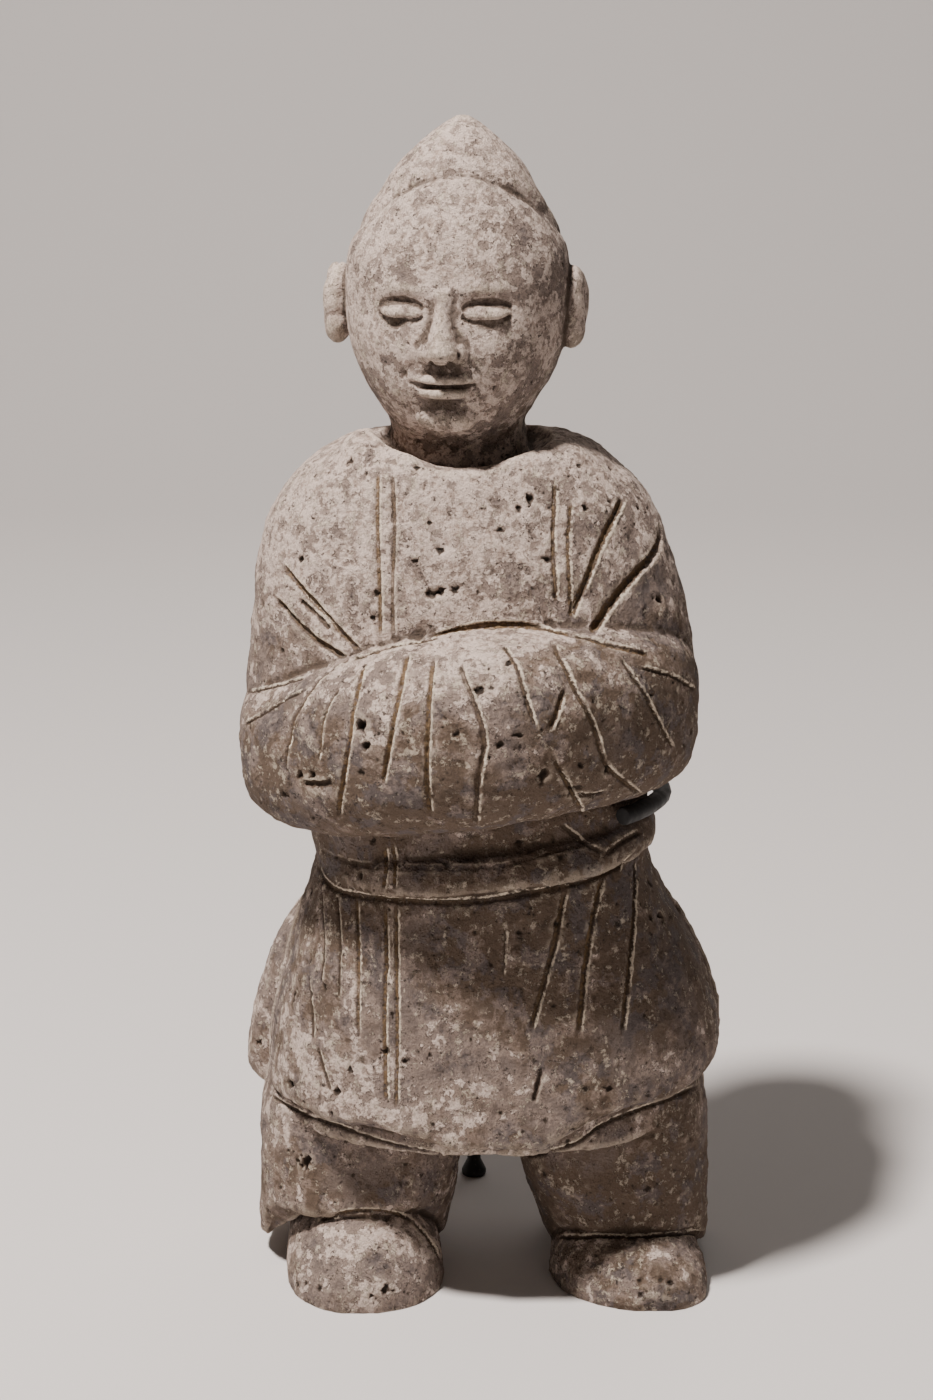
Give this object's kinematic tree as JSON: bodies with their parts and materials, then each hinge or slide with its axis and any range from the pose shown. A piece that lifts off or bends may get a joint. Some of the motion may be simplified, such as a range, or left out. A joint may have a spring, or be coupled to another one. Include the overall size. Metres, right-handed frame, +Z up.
{
  "type": "clay tomb figurine",
  "caption": "Grey clay tomb figurine of an attendant in a pointed cap and belted robe, arms folded in its sleeves, steadied by a black rod and fork",
  "frame": {"origin": "the middle of the underside of the whole object's box, on the surface that the figure stands on", "axes": "+Z up, the figure faces -Y, its left hand side is +X"},
  "size_m": [0.1262, 0.1126, 0.3008],
  "materials": {
    "fired_clay": "low-fired grey clay with worn pale slip, dry and matt",
    "blackened_steel": "blackened steel, satin",
    "black_sleeve": "black tubing drawn over the fork's arms, matt"
  },
  "bodies": {
    "root": {"figurine": "fired_clay", "support_rod": "blackened_steel", "cradle_arm_right": "black_sleeve", "cradle_arm_left": "black_sleeve"}
  },
  "joints": []
}
